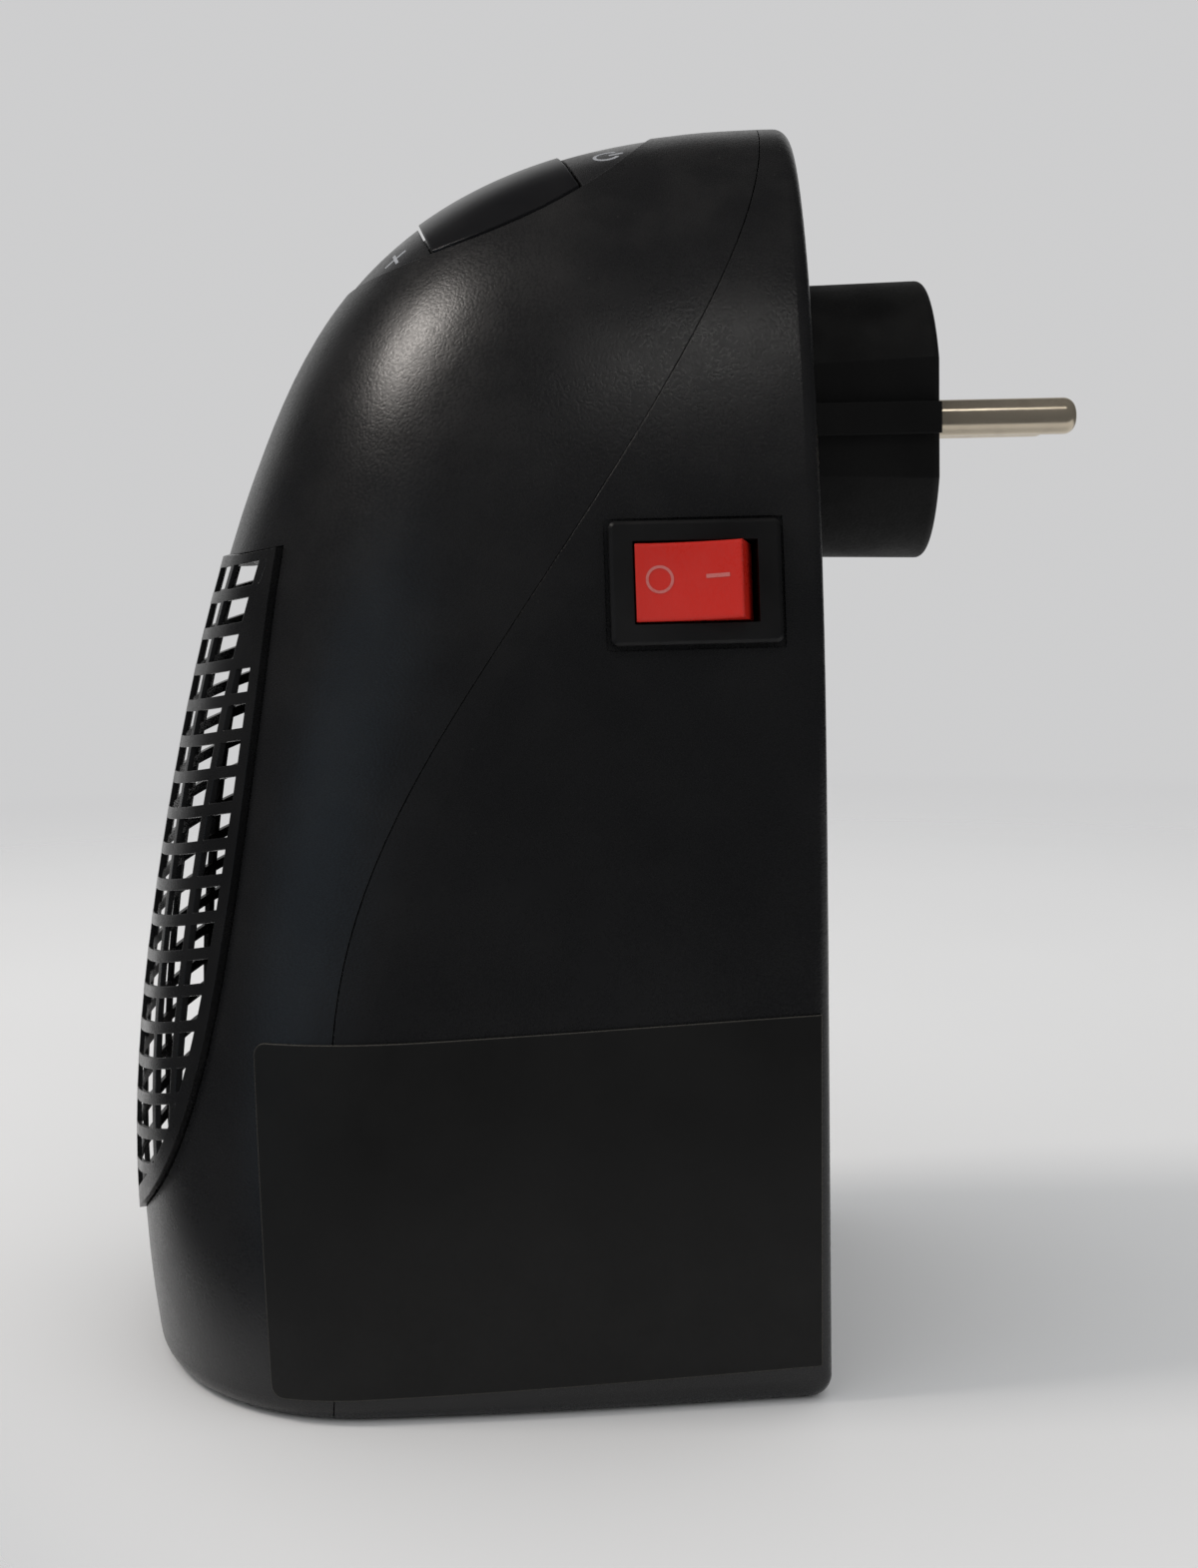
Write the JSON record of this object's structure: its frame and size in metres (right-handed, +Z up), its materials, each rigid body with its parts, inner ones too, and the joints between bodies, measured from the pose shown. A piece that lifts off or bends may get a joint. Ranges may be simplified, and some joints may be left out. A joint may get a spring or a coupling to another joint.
{
  "type": "plug-in fan heater",
  "caption": "Black plug-in fan heater with a barred front outlet, oval display panel, red side rocker switch and a turning mains plug.",
  "frame": {"origin": "middle of the base on which the casing stands", "axes": "+Z up, front outlet towards -Y, plug towards +Y"},
  "size_m": [0.0914, 0.128, 0.16],
  "materials": {
    "casing_black": "satin",
    "grille_black": "semi-gloss",
    "panel_gloss": "gloss",
    "key_black": "satin",
    "switch_black": "satin",
    "rocker_red": "satin",
    "label_black": "matte",
    "plug_black": "matte",
    "pin_nickel": "satin",
    "contact_brass": "satin",
    "steel": "brushed",
    "board_green": "satin",
    "component": "matte",
    "fin_aluminium": "satin",
    "ceramic": "matte",
    "frame_plastic": "matte",
    "fan_black": "satin",
    "wire_white": "satin"
  },
  "bodies": {
    "casing": {"front_shell": "casing_black", "rear_shell": "casing_black", "front_grille": "grille_black", "display_window": "panel_gloss", "control_board": "board_green", "key_switches": "component", "led_digits": "component", "switch_bezel": "switch_black", "switch_terminals": "contact_brass", "side_label": "label_black", "heater_frame": "frame_plastic", "heater_bars": "ceramic", "heater_fins": "fin_aluminium", "heater_tabs": "contact_brass", "thermal_cutout": "steel", "air_duct": "frame_plastic", "fan_frame": "fan_black", "fan_motor": "steel", "power_board": "board_green", "board_components": "component", "internal_wires": "wire_white", "shell_screws": "steel", "core_screws": "steel"},
    "rocker": {"switch_rocker": "rocker_red"},
    "key_minus_body": {"key_minus": "key_black"},
    "key_plus_body": {"key_plus": "key_black"},
    "key_timer_body": {"key_timer": "key_black"},
    "key_power_body": {"key_power": "key_black"},
    "fan": {"fan_shaft": "steel", "fan_impeller": "fan_black"},
    "plug": {"plug_body": "plug_black", "plug_pins": "pin_nickel", "plug_retainer": "plug_black", "plug_contacts": "contact_brass", "plug_leads": "wire_white"}
  },
  "joints": [
    {"name": "rocker_tilt", "type": "hinge", "parent": "casing", "child": "rocker", "pos_m": [0.03904, 0.02979, 0.10158], "axis": [-0.1597, -0.007, 0.9871], "range_deg": [0, 20]},
    {"name": "key_minus_press", "type": "slide", "parent": "casing", "child": "key_minus_body", "axis": [0, 0.4384, -0.8988], "range_m": [0, 0.0006], "stiffness_N_per_m": 300},
    {"name": "key_plus_press", "type": "slide", "parent": "casing", "child": "key_plus_body", "axis": [0, 0.4384, -0.8988], "range_m": [0, 0.0006], "stiffness_N_per_m": 300},
    {"name": "key_timer_press", "type": "slide", "parent": "casing", "child": "key_timer_body", "axis": [0, 0.4384, -0.8988], "range_m": [0, 0.0006], "stiffness_N_per_m": 300},
    {"name": "key_power_press", "type": "slide", "parent": "casing", "child": "key_power_body", "axis": [0, 0.4384, -0.8988], "range_m": [0, 0.0006], "stiffness_N_per_m": 300},
    {"name": "fan_spin", "type": "hinge", "parent": "casing", "child": "fan", "pos_m": [0, 0.021, 0.054], "axis": [0, 1, 0], "continuous": true},
    {"name": "plug_turn", "type": "hinge", "parent": "casing", "child": "plug", "pos_m": [0, 0.0455, 0.1215], "axis": [0, 1, 0], "range_deg": [-90, 90]}
  ]
}
